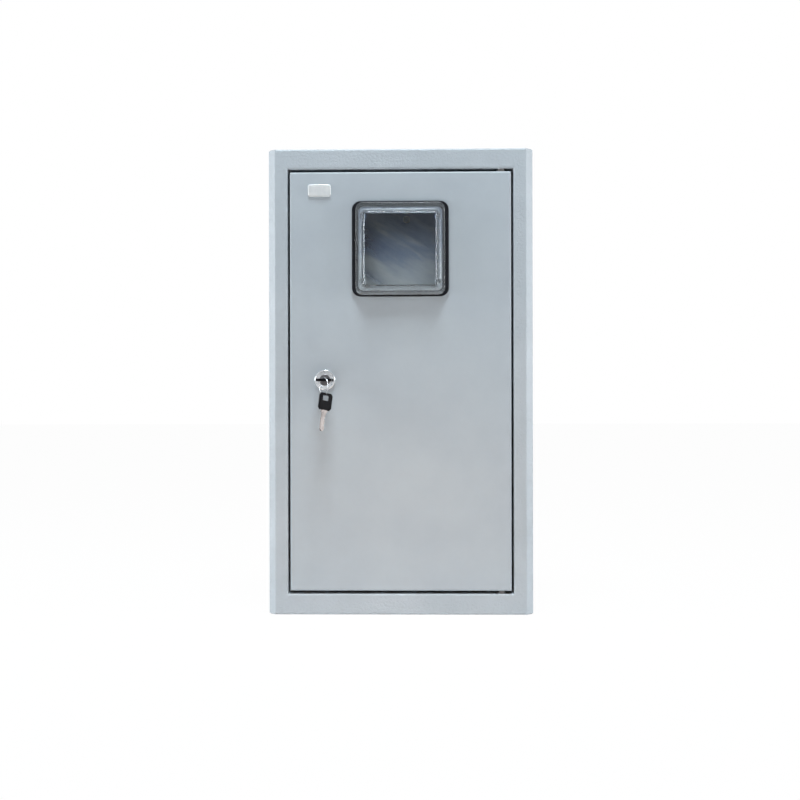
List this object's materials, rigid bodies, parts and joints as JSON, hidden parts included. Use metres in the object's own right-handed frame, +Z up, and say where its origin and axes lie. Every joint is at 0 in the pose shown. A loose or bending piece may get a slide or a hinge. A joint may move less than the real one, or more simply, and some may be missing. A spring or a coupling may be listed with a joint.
{
  "type": "electrical enclosure",
  "caption": "Wall-mounted sheet-metal metering enclosure with a flush hinged door, a raised clear window, a cam lock with keys, and a mounting plate with rail and terminal bars.",
  "frame": {"origin": "centre of the four wall holes, on the outside of the back", "axes": "+X to the right as seen from the front, -Y out of the front, +Z up"},
  "size_m": [0.31, 0.1999, 0.545],
  "materials": {
    "frame_paint": "fine textured powder coat, light grey",
    "door_paint": "smooth satin powder coat, light grey",
    "galvanised_steel": "galvanised sheet with faint streaks",
    "zinc_steel": "zinc plated",
    "dull_steel": "greased plain steel",
    "copper_steel": "copper plated weld stud",
    "chrome": "chromed die casting",
    "plug_steel": "satin, darkened",
    "key_steel": "nickel plated",
    "brass": "drawn brass",
    "black_plastic": "moulded, satin",
    "blue_plastic": "moulded, satin",
    "green_plastic": "moulded, satin",
    "white_plastic": "glossy dome",
    "black_rubber": "matt",
    "clear_plastic": "clear moulding"
  },
  "bodies": {
    "housing": {"front_shell": "frame_paint", "back_shell": "frame_paint", "hinge_pin_top": "dull_steel", "hinge_pin_bottom": "dull_steel", "hinge_washers": "dull_steel", "mounting_plate": "galvanised_steel", "plate_standoffs": "zinc_steel", "plate_washers": "zinc_steel", "plate_screws": "zinc_steel", "din_rail": "galvanised_steel", "rail_screws": "zinc_steel", "rail_nuts": "zinc_steel", "neutral_bar": "brass", "earth_bar": "brass", "neutral_terminal_screws": "zinc_steel", "earth_terminal_screws": "zinc_steel", "neutral_bar_feet": "blue_plastic", "earth_bar_feet": "green_plastic", "bar_screws": "zinc_steel", "housing_earth_stud": "copper_steel", "housing_earth_nut": "zinc_steel"},
    "door": {"door_panel": "door_paint", "window_seal": "black_rubber", "window_cover": "clear_plastic", "window_frame": "galvanised_steel", "window_screws": "zinc_steel", "lock_body": "chrome", "lock_nut": "zinc_steel", "badge": "white_plastic", "door_earth_stud": "copper_steel", "door_earth_nut": "zinc_steel"},
    "lock": {"lock_plug": "plug_steel", "lock_cam": "zinc_steel", "cam_washer": "zinc_steel", "cam_screw": "zinc_steel"},
    "key": {"key_blade": "key_steel", "key_head": "black_plastic"},
    "ring": {"key_ring": "key_steel"},
    "spare_key": {"spare_key_blade": "key_steel", "spare_key_head": "black_plastic"}
  },
  "joints": [
    {"name": "door_hinge", "type": "hinge", "parent": "housing", "child": "door", "pos_m": [0.118, -0.1585, 0], "axis": [0, 0, 1], "range_deg": [0, 120]},
    {"name": "lock_turn", "type": "hinge", "parent": "door", "child": "lock", "pos_m": [-0.0885, -0.1676, 0.002], "axis": [0, 1, 0], "range_deg": [0, 90]},
    {"name": "key_pull", "type": "slide", "parent": "lock", "child": "key", "axis": [0, -1, 0], "range_m": [0, 0.024]},
    {"name": "ring_swing", "type": "hinge", "parent": "key", "child": "ring", "pos_m": [-0.08797, -0.19045, 0.0047], "axis": [0.5299, -0.848, 0], "range_deg": [-6, 12]},
    {"name": "spare_key_swing", "type": "hinge", "parent": "ring", "child": "spare_key", "pos_m": [-0.08797, -0.19045, -0.0163], "axis": [0.5299, -0.848, 0], "range_deg": [-80, 80]}
  ]
}
